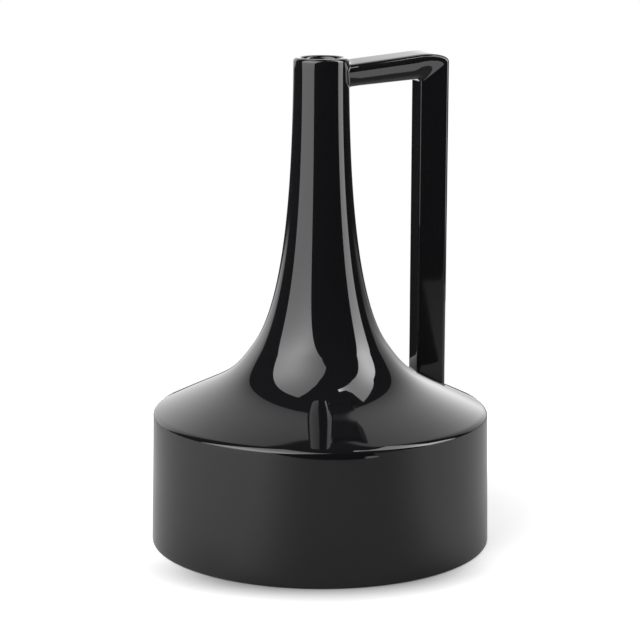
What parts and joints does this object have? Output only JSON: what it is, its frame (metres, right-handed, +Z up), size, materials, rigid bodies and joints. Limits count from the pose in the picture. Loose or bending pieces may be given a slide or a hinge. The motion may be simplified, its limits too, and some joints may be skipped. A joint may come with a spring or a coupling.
{
  "type": "ceramic pitcher vase",
  "caption": "Gloss black ceramic pitcher vase: wide low drum, shoulder flaring up into a tall narrow neck with a round lip, and an angular square-bar handle from neck to shoulder.",
  "frame": {"origin": "centre of the foot, on the surface that the vase stands on", "axes": "+Z up along the axis of the drum and neck; +X from that axis towards the handle; the handle is symmetric about the XZ plane"},
  "size_m": [0.21, 0.21, 0.3029],
  "materials": {
    "black_glaze": "high gloss black glaze over stoneware, slightly soft along edges and seams; only the foot ring underneath is bare clay"
  },
  "bodies": {
    "root": {"base_drum": "black_glaze", "shoulder_neck": "black_glaze", "handle_crossbar": "black_glaze", "handle_upright": "black_glaze"}
  },
  "joints": []
}
